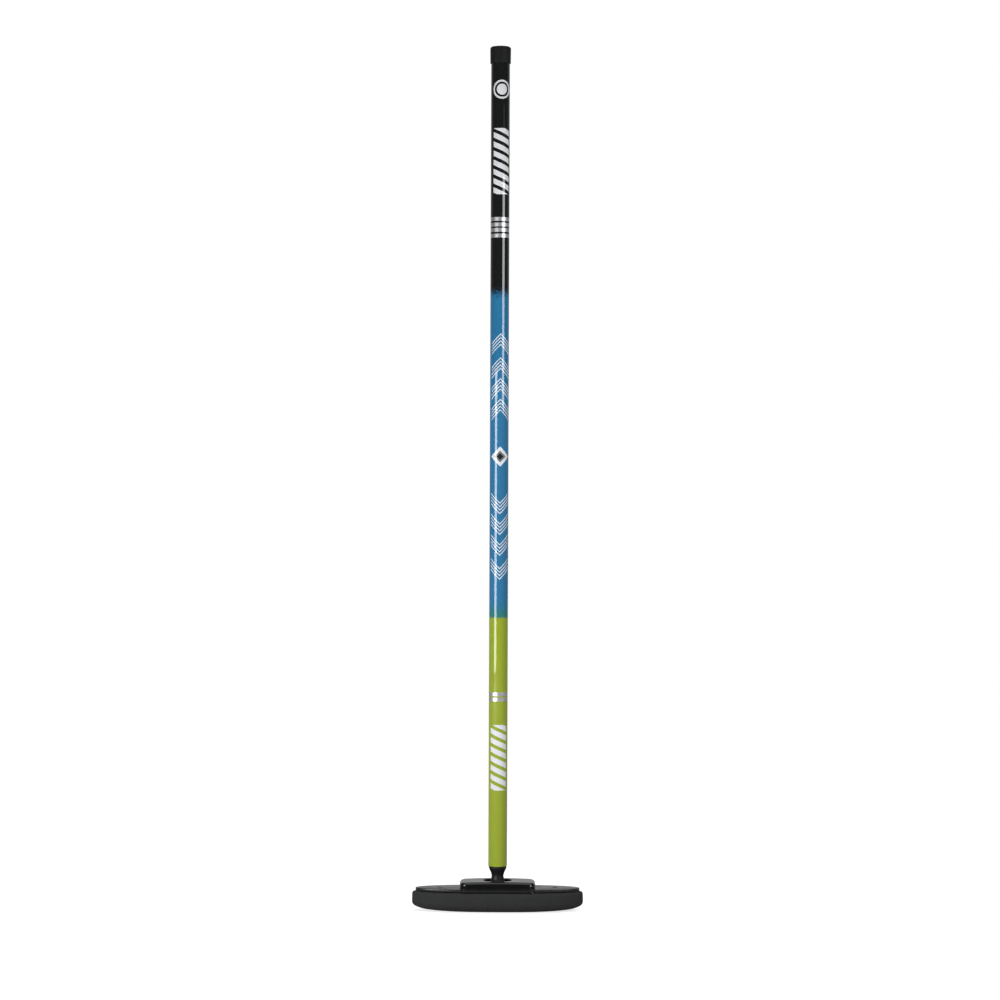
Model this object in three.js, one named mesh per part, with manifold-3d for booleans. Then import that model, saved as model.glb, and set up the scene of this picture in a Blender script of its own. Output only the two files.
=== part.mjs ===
// A curling broom: a painted composite shaft on a swivel head with an oval brush pad.
// Millimetres, +Z up the shaft, X along the head. The origin is on the sweeping face, under the swivel.
// The neck ends in a ball. A cross pin through the ball lies along the head, in grooves of the two
// ball seats. The head turns on the pin (fore and aft), and the ball's flared slot lets the pin lean
// (side to side), while it stops the head from spinning on the shaft.

import * as THREE from 'three';
import { mergeVertices } from 'three/addons/utils/BufferGeometryUtils.js';
import Module from 'manifold-3d';

const wasm = await Module();
wasm.setup();

// Driving dimensions
const GAP = 0.3; // between pieces that touch
const SHAFT_RADIUS = 12.7; // a one inch tube
const SHAFT_WALL = 1.6;
const SHAFT_FOOT = 60.3;
const BROOM_HEIGHT = 1171;
const CAP_LENGTH = 22.5;
const CAP_RADIUS = 14.1;
const CAP_TOP = 2.6;
const CAP_EDGE = 2.6; // the radius round its top
const SPIGOT_LENGTH = 48;
const SPIGOT_TAPER = 3;

const SWIVEL_HEIGHT = 35; // the ball's centre above the sweeping face
const BALL_RADIUS = 11.5;
const WAIST_RADIUS = 8.1;
const COLLAR_RADIUS = 12;
const SIDE_LEAN = 20; // degrees each way
const PIN_RADIUS = 2.5;
const PIN_LENGTH = 31;
const SEAT_RADIUS = 21; // outside of the two ball seats
const BOWL_RADIUS = 13.6; // outside of the lower seat's bowl
const BOWL_FOOT = 21.9;
const UPPER_SEAT_THICKNESS = 2.3;
const RING_RADIUS = 18; // of the rubber ring under the lower seat
const RING_SECTION = 0.9;

const PAD_LENGTH = 232.4;
const PAD_WIDTH = 65;
const PAD_TOP = 26.7;
const PAD_ROCKER = 2.9; // how far the pad's underside lifts towards its ends
const FLAT_LENGTH = 70; // of the underside before it lifts
const PAD_ROUND = 16; // how high the rounding of its underside reaches
const END_SWEEP = 28; // how far in it reaches from the ends
const SIDE_SWEEP = 17; // and from the sides
const SWEEP_POWER = 1.6; // above 1 it is tighter than an ellipse near the underside
const PAD_EDGE = 4; // the radius round its top
const FABRIC = 1;
const HEM = 9; // the cover's width on top of the board
const BOARD_THICKNESS = 3;
const BOARD_INSET = 2.4; // more than the cover's thickness, for the cover's round edge
const BOARD_WINDOW = 11.5;
const NUT_FLANGE_RADIUS = 6.4;
const NUT_FLANGE_THICKNESS = 1.1;
const NUT_BARREL_RADIUS = 3.3;
const OVAL = 2.15; // the superellipse power of the head's outline

const PLATE_LENGTH = 222.4;
const PLATE_WIDTH = 56;
const PLATE_THICKNESS = 4;
const PLATE_WAIST = 51.6; // across the flats that the housing's skirts close over
const PAD_SCREW_REACH = 78;
const PAD_SCREW = { head: 3.5, shank: 1.9, length: 11 };
const HOUSING_SCREW = { head: 3.2, shank: 1.5, length: 10 };
const RECESS_WIDTH = 0.6; // of a screw's cross
const RECESS_DEPTH = 1;

const HOUSING_LENGTH = 102;
const HOUSING_FOOT_WIDTH = 57;
const HOUSING_TOP_WIDTH = 48.4;
const HOUSING_TOP = 41;
const HOUSING_WALL = 2.4;
const HOUSING_FOOT_CORNER = 6; // in plan, at its foot
const HOUSING_TOP_CORNER = 9.5;
const HOUSING_EDGE = 5; // round its top
const MOUTH_LENGTH = 38;
const MOUTH_WIDTH = 32;
const MOUTH_WALL = 2.5;
const BOSS_RADIUS = 3.6;
const BOSS_BORE = 1.8;
const BOSS_REACH = [38, 17];

const ROUND = 32; // segments round a visible circle
const SMALL_ROUND = 16; // segments round a screw or a pin

// Heights that follow from them
const PLATE_BOTTOM = PAD_TOP + GAP;
const PLATE_TOP = PLATE_BOTTOM + PLATE_THICKNESS;
const BOARD_TOP = PAD_TOP - FABRIC - GAP;
const BOARD_BOTTOM = BOARD_TOP - BOARD_THICKNESS;
const FOAM_TOP = BOARD_BOTTOM - GAP;
const FOAM_BOTTOM = FABRIC + GAP;
const SOCKET_RADIUS = BALL_RADIUS + GAP;

const paint = new THREE.MeshStandardMaterial({ color: 0x2a76a8, roughness: 0.2, metalness: 0 });
const capRubber = new THREE.MeshStandardMaterial({ color: 0x1c1d1d, roughness: 0.7, metalness: 0 });
const nylon = new THREE.MeshStandardMaterial({ color: 0x151616, roughness: 0.45, metalness: 0 });
const glossPlastic = new THREE.MeshStandardMaterial({ color: 0x0c0d0d, roughness: 0.15, metalness: 0 });
const acetal = new THREE.MeshStandardMaterial({ color: 0x121313, roughness: 0.4, metalness: 0 });
const steel = new THREE.MeshStandardMaterial({ color: 0x9a9c9e, roughness: 0.3, metalness: 1 });
const blackSteel = new THREE.MeshStandardMaterial({ color: 0x2b2c2e, roughness: 0.4, metalness: 1 });
const boardPlastic = new THREE.MeshStandardMaterial({ color: 0x3a3b3c, roughness: 0.6, metalness: 0 });
const foam = new THREE.MeshStandardMaterial({ color: 0xd9d4c4, roughness: 0.9, metalness: 0 });
const fabric = new THREE.MeshStandardMaterial({ color: 0x242626, roughness: 0.85, metalness: 0 });

// A solid of manifold-3d from a closed three.js geometry.
function solidOf(geometry) {
  const bare = geometry.index ? geometry.toNonIndexed() : geometry.clone();
  bare.deleteAttribute('normal');
  bare.deleteAttribute('uv');
  const merged = mergeVertices(bare);
  return new wasm.Manifold(new wasm.Mesh({
    numProp: 3,
    vertProperties: new Float32Array(merged.attributes.position.array),
    triVerts: new Uint32Array(merged.index.array),
  }));
}

// A three.js mesh of a solid, under its piece's name.
function piece(name, solid, material) {
  const { vertProperties, triVerts } = solid.getMesh();
  const geometry = new THREE.BufferGeometry();
  geometry.setAttribute('position', new THREE.BufferAttribute(vertProperties, 3));
  geometry.setIndex(new THREE.BufferAttribute(triVerts, 1));
  geometry.computeVertexNormals();
  const mesh = new THREE.Mesh(geometry, material);
  mesh.name = name;
  return mesh;
}

// A solid turned about Z, from [radius, height] points that run up its outside.
function turned(points, segments = ROUND) {
  const profile = points.map(([radius, height]) => new THREE.Vector2(radius, height));
  return solidOf(new THREE.LatheGeometry(profile, segments).rotateX(Math.PI / 2));
}

// A plain round bar on Z.
function bar(radius, bottom, top, segments = SMALL_ROUND) {
  return turned([[0, bottom], [radius, bottom], [radius, top], [0, top]], segments);
}

// [radius, height] points on a circle, for angles in degrees up from its equator.
function arc(centreRadius, centreHeight, radius, fromAngle, toAngle, steps) {
  return Array.from({ length: steps + 1 }, (_, step) => {
    const angle = THREE.MathUtils.degToRad(fromAngle + ((toAngle - fromAngle) * step) / steps);
    return [centreRadius + radius * Math.cos(angle), centreHeight + radius * Math.sin(angle)];
  });
}

// A solid ball on Z.
function ball(radius, height, steps = 14) {
  const outline = arc(0, height, radius, -90, 90, steps);
  outline[0][0] = 0;
  outline[steps][0] = 0;
  return turned(outline);
}

// A flat outline on a level, pulled up Z.
function pulledUp(outline, bottom, top) {
  const shape = new THREE.Shape(outline);
  const depth = top - bottom;
  return solidOf(new THREE.ExtrudeGeometry(shape, { depth, bevelEnabled: false }).translate(0, 0, bottom));
}

// A closed skin over rings of equally many points, listed from the lowest ring to the highest. Each
// ring is a mirror image of itself in Y, so its first and last points pair up across its end faces.
function skinned(rings) {
  const count = rings[0].length;
  const corners = rings.flat();
  const top = corners.length - count;
  const faces = [];
  for (let level = 0; level < rings.length - 1; level += 1) {
    for (let at = 0; at < count; at += 1) {
      const low = level * count + at;
      const lowNext = level * count + ((at + 1) % count);
      faces.push(low, lowNext, lowNext + count, low, lowNext + count, low + count);
    }
  }
  for (let at = 0; at < count / 2 - 1; at += 1) {
    const [next, farNext, far] = [at + 1, count - 2 - at, count - 1 - at];
    faces.push(at, farNext, next, at, far, farNext);
    faces.push(top + at, top + next, top + farNext, top + at, top + farNext, top + far);
  }
  const geometry = new THREE.BufferGeometry().setFromPoints(corners);
  geometry.setIndex(faces);
  return solidOf(geometry);
}

// The head's oval outline, with its long sides cut to a flat where waist is given.
function oval(length, width, waist = Infinity, count = 56) {
  return Array.from({ length: count }, (_, step) => {
    const angle = (2 * Math.PI * (step + 0.5)) / count;
    const along = Math.sign(Math.cos(angle)) * Math.abs(Math.cos(angle)) ** (2 / OVAL);
    const across = Math.sign(Math.sin(angle)) * Math.abs(Math.sin(angle)) ** (2 / OVAL);
    const y = THREE.MathUtils.clamp((across * width) / 2, -waist / 2, waist / 2);
    return new THREE.Vector2((along * length) / 2, y);
  });
}

function ellipse(length, width, count = ROUND) {
  return new THREE.EllipseCurve(0, 0, length / 2, width / 2).getPoints(count).slice(0, count);
}

function roundedRectangle(length, width, corner, steps = 4) {
  const points = [];
  const centres = [[1, 1], [-1, 1], [-1, -1], [1, -1]];
  centres.forEach(([sideX, sideY], quarter) => {
    for (let step = 0; step <= steps; step += 1) {
      const angle = (quarter + step / steps) * (Math.PI / 2);
      const x = sideX * (length / 2 - corner) + corner * Math.cos(angle);
      const y = sideY * (width / 2 - corner) + corner * Math.sin(angle);
      points.push(new THREE.Vector2(x, y));
    }
  });
  return points;
}

function atHeight(outline, height) {
  return outline.map(({ x, y }) => new THREE.Vector3(x, y, height));
}

// Shaft

function shaftTube() {
  const top = BROOM_HEIGHT - CAP_TOP - GAP;
  const bore = SHAFT_RADIUS - SHAFT_WALL;
  const wall = turned([
    [bore, SHAFT_FOOT],
    [SHAFT_RADIUS, SHAFT_FOOT],
    [SHAFT_RADIUS, top],
    [bore, top],
    [bore, SHAFT_FOOT],
  ]);
  return piece('shaft_tube', wall, paint);
}

function buttCap() {
  const foot = BROOM_HEIGHT - CAP_LENGTH;
  const socket = SHAFT_RADIUS + GAP;
  const cap = turned([
    [socket, foot],
    [CAP_RADIUS - 0.2, foot],
    ...arc(CAP_RADIUS - CAP_EDGE, BROOM_HEIGHT - CAP_EDGE, CAP_EDGE, 0, 90, 4),
    [0, BROOM_HEIGHT],
    [0, BROOM_HEIGHT - CAP_TOP],
    [socket, BROOM_HEIGHT - CAP_TOP],
    [socket, foot],
  ]);
  return piece('butt_cap', cap, capRubber);
}

// The slot that the cross pin leans in: as high as the pin in its middle, and flared to both sides.
function leaningSlot() {
  const lean = THREE.MathUtils.degToRad(SIDE_LEAN);
  const room = PIN_RADIUS + GAP;
  const reach = BALL_RADIUS + 1;
  const flare = room / Math.cos(lean) + reach * Math.tan(lean);
  const bowTie = [[0, -room], [reach, -flare], [reach, flare], [0, room], [-reach, flare], [-reach, -flare]];
  const shape = new THREE.Shape(bowTie.map(([x, y]) => new THREE.Vector2(x, y)));
  const geometry = new THREE.ExtrudeGeometry(shape, { depth: 2 * room, bevelEnabled: false });
  return solidOf(geometry.translate(0, 0, -room).rotateX(Math.PI / 2).translate(0, 0, SWIVEL_HEIGHT));
}

// One moulding: the spigot in the tube, the collar, the narrow waist and the ball.
function neckBall() {
  const collarTop = SHAFT_FOOT - GAP;
  const collarFoot = collarTop - 1.6;
  const spigot = SHAFT_RADIUS - SHAFT_WALL - GAP;
  const spigotTop = SHAFT_FOOT + SPIGOT_LENGTH;
  const waistHeight = 47;
  const body = turned([
    [0, SWIVEL_HEIGHT],
    [8.9, SWIVEL_HEIGHT + 5],
    [8.9, SWIVEL_HEIGHT + 7.3],
    [8.45, SWIVEL_HEIGHT + 9],
    [WAIST_RADIUS, waistHeight],
    [8.3, waistHeight + 2],
    [9, waistHeight + 4],
    [10.3, waistHeight + 6.8],
    [COLLAR_RADIUS - 0.4, collarFoot - 0.6],
    [COLLAR_RADIUS, collarFoot],
    [COLLAR_RADIUS, collarTop],
    [spigot, collarTop],
    [spigot, spigotTop - SPIGOT_TAPER],
    [spigot - 2, spigotTop],
    [0, spigotTop],
  ]);
  const whole = body.add(ball(BALL_RADIUS, SWIVEL_HEIGHT)).subtract(leaningSlot());
  return piece('neck_ball', whole, nylon);
}

// Swivel

function alongX(solid) {
  return solid.rotate([0, 90, 0]).translate([0, 0, SWIVEL_HEIGHT]);
}

function crossPin() {
  const half = PIN_LENGTH / 2;
  const edge = 0.5;
  const pin = turned([
    [0, -half],
    [PIN_RADIUS - edge, -half],
    [PIN_RADIUS, edge - half],
    [PIN_RADIUS, half - edge],
    [PIN_RADIUS - edge, half],
    [0, half],
  ], SMALL_ROUND);
  return piece('swivel_cross_pin', alongX(pin), steel);
}

function pinGroove() {
  const half = PIN_LENGTH / 2 + 0.4;
  return alongX(bar(PIN_RADIUS + GAP, -half, half));
}

function lowerSeat() {
  const top = SWIVEL_HEIGHT - GAP / 2;
  const flangeFoot = PLATE_TOP + GAP;
  const grooveTop = flangeFoot + 2 * RING_SECTION + GAP;
  const bowl = ball(BOWL_RADIUS, SWIVEL_HEIGHT).intersect(bar(BOWL_RADIUS + 1, BOWL_FOOT, top, ROUND));
  const flange = bar(SEAT_RADIUS, flangeFoot, top, ROUND);
  const inner = RING_RADIUS - RING_SECTION - GAP;
  const outer = RING_RADIUS + RING_SECTION + GAP;
  const ringGroove = bar(outer, flangeFoot - 1, grooveTop, ROUND).subtract(
    bar(inner, flangeFoot - 2, grooveTop + 1, ROUND),
  );
  const seat = bowl.add(flange)
    .subtract(ball(SOCKET_RADIUS, SWIVEL_HEIGHT))
    .subtract(pinGroove())
    .subtract(ringGroove);
  return piece('ball_seat_lower', seat, acetal);
}

// Its lip reaches just above the ball's middle, and the throat above it opens for the tilting neck.
function upperSeat() {
  const bottom = SWIVEL_HEIGHT + GAP / 2;
  const lip = bottom + 1.2;
  const top = bottom + UPPER_SEAT_THICKNESS;
  const throat = turned([
    [0, lip - 0.5],
    [SOCKET_RADIUS - 0.3, lip - 0.5],
    [SOCKET_RADIUS + 2.6, top + 1],
    [0, top + 1],
  ]);
  const seat = bar(SEAT_RADIUS, bottom, top, ROUND)
    .subtract(ball(SOCKET_RADIUS, SWIVEL_HEIGHT))
    .subtract(throat)
    .subtract(pinGroove());
  return piece('ball_seat_upper', seat, acetal);
}

function seatRing() {
  const centre = PLATE_TOP + GAP + RING_SECTION;
  const section = arc(RING_RADIUS, centre, RING_SECTION, -180, 180, 6);
  section[6] = section[0];
  return piece('seat_o_ring', turned(section), capRubber);
}

// Head

function housingRing(height, inset) {
  const skirtTop = HOUSING_TOP - HOUSING_EDGE;
  const slope = (HOUSING_FOOT_WIDTH - HOUSING_TOP_WIDTH) / (skirtTop - PLATE_BOTTOM);
  const width = HOUSING_FOOT_WIDTH - slope * (Math.min(height, skirtTop) - PLATE_BOTTOM);
  const above = Math.max(0, height - skirtTop);
  const edge = HOUSING_EDGE - Math.sqrt(Math.max(0, HOUSING_EDGE ** 2 - above ** 2));
  const pull = 2 * (inset + edge);
  const share = Math.min(1, Math.max(0, (height - PLATE_BOTTOM) / (skirtTop - PLATE_BOTTOM)));
  const corner = HOUSING_FOOT_CORNER + share * (HOUSING_TOP_CORNER - HOUSING_FOOT_CORNER);
  const outline = roundedRectangle(HOUSING_LENGTH - pull, width - pull, corner - inset - edge);
  return atHeight(outline, height);
}

function housingShell() {
  const skirtTop = HOUSING_TOP - HOUSING_EDGE;
  const topHeights = [0, 0.6, 0.9, 1].map((share) => skirtTop + share * HOUSING_EDGE);
  const outside = skinned([housingRing(PLATE_BOTTOM, 0), ...topHeights.map((height) => housingRing(height, 0))]);
  const cavityTop = HOUSING_TOP - HOUSING_WALL;
  const inside = skinned([
    housingRing(PLATE_BOTTOM - 1, HOUSING_WALL),
    housingRing(skirtTop, HOUSING_WALL),
    atHeight(roundedRectangle(
      HOUSING_LENGTH - 2 * HOUSING_WALL - 2,
      HOUSING_TOP_WIDTH - 2 * HOUSING_WALL - 2,
      HOUSING_TOP_CORNER - HOUSING_WALL - 1,
    ), cavityTop),
  ]);
  return outside.subtract(inside);
}

function bossPlaces() {
  const [x, y] = BOSS_REACH;
  return [[-x, -y], [x, -y], [x, y], [-x, y]];
}

// The cover over the swivel. Its skirts close over the plate's flats, and its end walls stand on it.
function pivotHousing() {
  const seatTop = SWIVEL_HEIGHT + GAP / 2 + UPPER_SEAT_THICKNESS;
  const collarOutline = ellipse(MOUTH_LENGTH + 2 * MOUTH_WALL, MOUTH_WIDTH + 2 * MOUTH_WALL);
  const collar = pulledUp(collarOutline, seatTop + GAP, HOUSING_TOP - 1);
  const mouth = pulledUp(ellipse(MOUTH_LENGTH, MOUTH_WIDTH), seatTop - 1, HOUSING_TOP + 1);
  const plateRoom = pulledUp(
    oval(PLATE_LENGTH + 2 * GAP, PLATE_WIDTH + 2 * GAP, PLATE_WAIST + 2 * GAP),
    PLATE_BOTTOM - 2,
    PLATE_TOP + GAP,
  );
  let housing = housingShell().add(collar);
  for (const [x, y] of bossPlaces()) {
    housing = housing.add(bar(BOSS_RADIUS, PLATE_TOP + GAP, HOUSING_TOP - 1).translate([x, y, 0]));
    housing = housing.subtract(bar(BOSS_BORE, PLATE_TOP - 1, HOUSING_TOP - 3).translate([x, y, 0]));
  }
  return piece('pivot_housing', housing.subtract(mouth).subtract(plateRoom), glossPlastic);
}

// A countersunk screw whose head is flush at headHeight, pointing along direction (1 up, -1 down).
function screw(name, [x, y], headHeight, { head, shank, length }, direction) {
  const solid = turned([
    [0, 0],
    [head, 0],
    [shank, head - shank],
    [shank, length - 1],
    [shank / 2, length],
    [0, length],
  ], SMALL_ROUND);
  const blade = new THREE.BoxGeometry(head * 1.2, RECESS_WIDTH, 2 * RECESS_DEPTH);
  const recess = solidOf(blade).add(solidOf(blade.clone().rotateZ(Math.PI / 2)));
  let whole = solid.subtract(recess);
  if (direction < 0) {
    whole = whole.rotate([180, 0, 0]);
  }
  return piece(name, whole.translate([x, y, headHeight]), blackSteel);
}

function countersink({ head, shank }, height, direction) {
  const room = GAP;
  const sink = turned([
    [0, -1],
    [head + room, -1],
    [head + room, 0],
    [shank + room, head - shank],
    [shank + room, 2 * PLATE_THICKNESS],
    [0, 2 * PLATE_THICKNESS],
  ], SMALL_ROUND);
  return (direction < 0 ? sink.rotate([180, 0, 0]) : sink).translate([0, 0, height]);
}

// The moulded plate: a hole for the lower seat's bowl, and countersinks on both faces.
function headPlate() {
  let plate = pulledUp(oval(PLATE_LENGTH, PLATE_WIDTH, PLATE_WAIST), PLATE_BOTTOM, PLATE_TOP);
  plate = plate.subtract(bar(BOWL_RADIUS + GAP, PLATE_BOTTOM - 1, PLATE_TOP + 1, ROUND));
  for (const [x, y] of bossPlaces()) {
    plate = plate.subtract(countersink(HOUSING_SCREW, PLATE_BOTTOM, 1).translate([x, y, 0]));
  }
  for (const side of [-1, 1]) {
    plate = plate.subtract(countersink(PAD_SCREW, PLATE_TOP, -1).translate([side * PAD_SCREW_REACH, 0, 0]));
  }
  return piece('head_plate', plate, nylon);
}

// Pad

// Height that the pad's underside lifts by, at a place along the head.
function rocker(x) {
  const past = Math.max(0, Math.abs(x) - FLAT_LENGTH / 2);
  return PAD_ROCKER * (past / (PAD_LENGTH / 2 - FLAT_LENGTH / 2)) ** 2;
}

// The oval pad's form, from its rounded underside to the height given, inset all round by a wall.
function padForm(wall, bottom, top, topEdge) {
  const fullLength = PAD_LENGTH - 2 * wall;
  const fullWidth = PAD_WIDTH - 2 * wall;
  const lower = [90, 66, 46, 28, 12, 0].map((angle) => {
    const turn = THREE.MathUtils.degToRad(angle);
    const sweep = (1 - Math.cos(turn)) ** SWEEP_POWER;
    return [bottom + PAD_ROUND * (1 - Math.sin(turn)), END_SWEEP * sweep, SIDE_SWEEP * sweep];
  });
  const upper = [0, 0.6, 1].map((share) => {
    const pull = 1 - Math.sqrt(1 - share ** 2);
    return [top - topEdge * (1 - share), topEdge * pull, topEdge * pull];
  });
  const rings = [...lower, ...upper].map(([height, endPull, sidePull]) => {
    const outline = oval(fullLength - 2 * endPull, fullWidth - 2 * sidePull);
    const lift = (top - height) / (top - bottom);
    return outline.map(({ x, y }) => new THREE.Vector3(x, y, height + lift * rocker(x)));
  });
  return skinned(rings);
}

function padCover() {
  const outside = padForm(0, 0, PAD_TOP, PAD_EDGE);
  const inside = padForm(FABRIC, FABRIC, PAD_TOP - FABRIC, PAD_EDGE - FABRIC);
  const inset = 2 * (PAD_EDGE + HEM);
  const mouth = pulledUp(
    oval(PAD_LENGTH - inset, PAD_WIDTH - inset),
    PAD_TOP - 2 * FABRIC,
    PAD_TOP + 1,
  );
  return piece('pad_cover', outside.subtract(inside).subtract(mouth), fabric);
}

function padFoam() {
  const sharpEdge = 0.01;
  const bowlPocket = 8;
  const flangeRoom = NUT_FLANGE_RADIUS + 0.4;
  const tipRoom = PAD_SCREW.shank + 0.6;
  let core = padForm(FABRIC + GAP, FOAM_BOTTOM, FOAM_TOP, sharpEdge);
  core = core.subtract(bar(bowlPocket, BOWL_FOOT - GAP, FOAM_TOP + 1, SMALL_ROUND));
  for (const side of [-1, 1]) {
    const flange = bar(flangeRoom, FOAM_TOP - NUT_FLANGE_THICKNESS - 0.5, FOAM_TOP + 1);
    const tip = bar(tipRoom, FOAM_TOP - 4, FOAM_TOP + 1);
    core = core.subtract(flange.add(tip).translate([side * PAD_SCREW_REACH, 0, 0]));
  }
  return piece('pad_foam', core, foam);
}

function backingBoard() {
  const inset = 2 * (FABRIC + GAP + BOARD_INSET);
  let board = pulledUp(oval(PAD_LENGTH - inset, PAD_WIDTH - inset), BOARD_BOTTOM, BOARD_TOP);
  board = board.subtract(bar(BOARD_WINDOW, BOARD_BOTTOM - 1, BOARD_TOP + 1, ROUND));
  for (const side of [-1, 1]) {
    const hole = bar(NUT_BARREL_RADIUS + GAP, BOARD_BOTTOM - 1, BOARD_TOP + 1);
    board = board.subtract(hole.translate([side * PAD_SCREW_REACH, 0, 0]));
  }
  return piece('pad_backing_board', board, boardPlastic);
}

// A tee nut: its flange under the board, its barrel in the board's hole.
function teeNut(name, x) {
  const bore = PAD_SCREW.shank + GAP;
  const flangeTop = BOARD_BOTTOM - GAP;
  const flangeFoot = flangeTop - NUT_FLANGE_THICKNESS;
  const nut = turned([
    [bore, flangeFoot],
    [NUT_FLANGE_RADIUS, flangeFoot],
    [NUT_FLANGE_RADIUS, flangeTop],
    [NUT_BARREL_RADIUS, flangeTop],
    [NUT_BARREL_RADIUS, BOARD_TOP - 0.2],
    [bore, BOARD_TOP - 0.2],
    [bore, flangeFoot],
  ], SMALL_ROUND);
  return piece(name, nut.translate([x, 0, 0]), steel);
}

const shaft = new THREE.Group();
shaft.add(shaftTube(), buttCap(), neckBall());

const swivel = new THREE.Group();
swivel.add(crossPin());

const head = new THREE.Group();
head.add(lowerSeat(), upperSeat(), seatRing(), pivotHousing(), headPlate());
bossPlaces().forEach((place, index) => {
  head.add(screw(`housing_screw_${index + 1}`, place, PLATE_BOTTOM, HOUSING_SCREW, 1));
});
for (const [side, label] of [[-1, 'left'], [1, 'right']]) {
  const x = side * PAD_SCREW_REACH;
  head.add(screw(`pad_screw_${label}`, [x, 0], PLATE_TOP, PAD_SCREW, -1));
  head.add(teeNut(`pad_nut_${label}`, x));
}
head.add(backingBoard(), padFoam(), padCover());

const broom = new THREE.Group();
broom.add(shaft, swivel, head);

export default broom;
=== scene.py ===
# A curling broom: a painted composite shaft on a two-way swivel head with an oval brush pad.
# Sizes are named in millimetres and handed to Blender in metres. +Z is up the shaft, X is along the head,
# and the origin is on the sweeping face.
import math

import bmesh
import bpy
from mathutils import Matrix, Vector


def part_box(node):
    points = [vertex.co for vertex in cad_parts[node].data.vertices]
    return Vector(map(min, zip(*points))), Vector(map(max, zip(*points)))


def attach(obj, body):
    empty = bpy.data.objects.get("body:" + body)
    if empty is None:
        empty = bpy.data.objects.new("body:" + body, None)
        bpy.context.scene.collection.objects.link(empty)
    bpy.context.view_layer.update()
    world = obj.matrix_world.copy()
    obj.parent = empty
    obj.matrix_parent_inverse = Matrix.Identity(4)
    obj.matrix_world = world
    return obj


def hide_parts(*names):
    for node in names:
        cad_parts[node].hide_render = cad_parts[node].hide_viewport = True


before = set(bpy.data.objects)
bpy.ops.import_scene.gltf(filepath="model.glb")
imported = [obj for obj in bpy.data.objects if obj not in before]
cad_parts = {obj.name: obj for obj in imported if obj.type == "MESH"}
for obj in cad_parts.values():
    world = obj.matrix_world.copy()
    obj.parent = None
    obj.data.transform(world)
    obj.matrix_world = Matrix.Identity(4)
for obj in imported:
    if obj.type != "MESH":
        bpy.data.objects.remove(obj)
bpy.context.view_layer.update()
scene = bpy.context.scene
MM = 0.001

# ---------------------------------------------------------------- camera
# A long lens held level at the middle of the broom's height, square on to the head. It is turned a hair
# about its own axis and stands a hair to the side, so the broom leans a little in the frame.
CAMERA_DISTANCE = 3.663  # metres, like the other places in this section
CAMERA_HEIGHT = 0.5565
CAMERA_ASIDE = 0.0014
CAMERA_FAR = 60
CAMERA_ROLL = 0.215  # degrees
LENS = 97.2
SENSOR_WIDTH = 36

camera_data = bpy.data.cameras.new("studio_camera")
camera_data.lens = LENS
camera_data.sensor_width = SENSOR_WIDTH
camera_data.clip_end = CAMERA_FAR
camera = bpy.data.objects.new("studio_camera", camera_data)
scene.collection.objects.link(camera)
camera.matrix_world = (
    Matrix.Translation((CAMERA_ASIDE, -CAMERA_DISTANCE, CAMERA_HEIGHT))
    @ Matrix.Rotation(math.pi / 2, 4, "X")
    @ Matrix.Rotation(math.radians(CAMERA_ROLL), 4, "Z")
)
scene.camera = camera

# ---------------------------------------------------------------- studio
# A pale floor in a white room, with two soft boxes in front: one to the right lights the top half of
# the shaft, one to the left its foot. The room is dim in front, and bright behind and above.
BOX_DISTANCE = 1.5  # metres, like the other places in this section
SOFT_BOXES = {  # azimuth in degrees, height, width and depth, radiance
    "soft_box_right": (46, 0.872, (0.75, 0.516), 9.0),
    "soft_box_right_top": (46, 1.21, (0.4, 0.16), 0.5),
    "soft_box_left": (-40, 0.354, (0.75, 0.68), 11.0),
}
SIDE_GLOW = (-0.2, 1.0, 0.08, 0.52)  # from a gaze towards the front to one towards the back, and its light
SHADE_BAND = (0.3, 0.5, 1.0, 0.3)  # from a level gaze to a raised one, and the share of that light left
CEILING_BAND = (0.7, 0.95)
CEILING_GLOW = 1.3
SEEN_GLOW = 1.0
FLOOR_RADIUS = 30
FLOOR_GREY = 0.6
FLOOR_LIFT = 0.72
SMOOTH = {"interpolation_type": "SMOOTHSTEP"}
scene.view_settings.view_transform = "Standard"


def linear(colour):
    """A colour's linear red, green, blue and alpha, from its sRGB hex digits."""
    parts = [int(colour[at:at + 2], 16) / 255 for at in (0, 2, 4)]
    return [p / 12.92 if p <= 0.04045 else ((p + 0.055) / 1.055) ** 2.4 for p in parts] + [1.0]


def add(tree, kind, settings=None, *values, **inputs):
    """Adds a node to a tree and returns its first output. Values fill its inputs in order, and the others
    go by name, or by number as i3. An input is a value, or the output of another node. Settings may be
    just the operation's name."""
    node = tree.nodes.new("ShaderNode" + kind)
    if isinstance(settings, str):
        settings = {"operation": settings}
    for name, value in (settings or {}).items():
        setattr(node, name, value)
    wanted = dict(enumerate(values))
    for name, value in inputs.items():
        wanted[int(name[1:]) if name[1:].isdigit() else name.replace("_", " ")] = value
    for at, value in wanted.items():
        if isinstance(value, bpy.types.NodeSocket):
            tree.links.new(value, node.inputs[at])
        else:
            node.inputs[at].default_value = value
    return next((out for out in node.outputs if out.enabled), None)


def new_material(name):
    """A material with an empty node tree."""
    material = bpy.data.materials.new(name)
    material.use_nodes = True
    material.node_tree.nodes.clear()
    return material, material.node_tree


def soft_box(name, place, size, radiance):
    """A rectangular area light that faces the shaft at its own height."""
    light = bpy.data.lights.new(name, "AREA")
    light.shape = "RECTANGLE"
    light.size, light.size_y = size
    light.energy = radiance * math.pi * size[0] * size[1]
    box = bpy.data.objects.new(name, light)
    scene.collection.objects.link(box)
    box.location = place
    target = Vector((0, 0, place[2]))
    box.rotation_euler = (target - Vector(place)).to_track_quat("-Z", "Y").to_euler()


def on_circle(azimuth, distance, height):
    """A place round the broom: azimuth 0 is towards the camera, and grows to the camera's right."""
    turn = math.radians(azimuth)
    return (distance * math.sin(turn), -distance * math.cos(turn), height)


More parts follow.
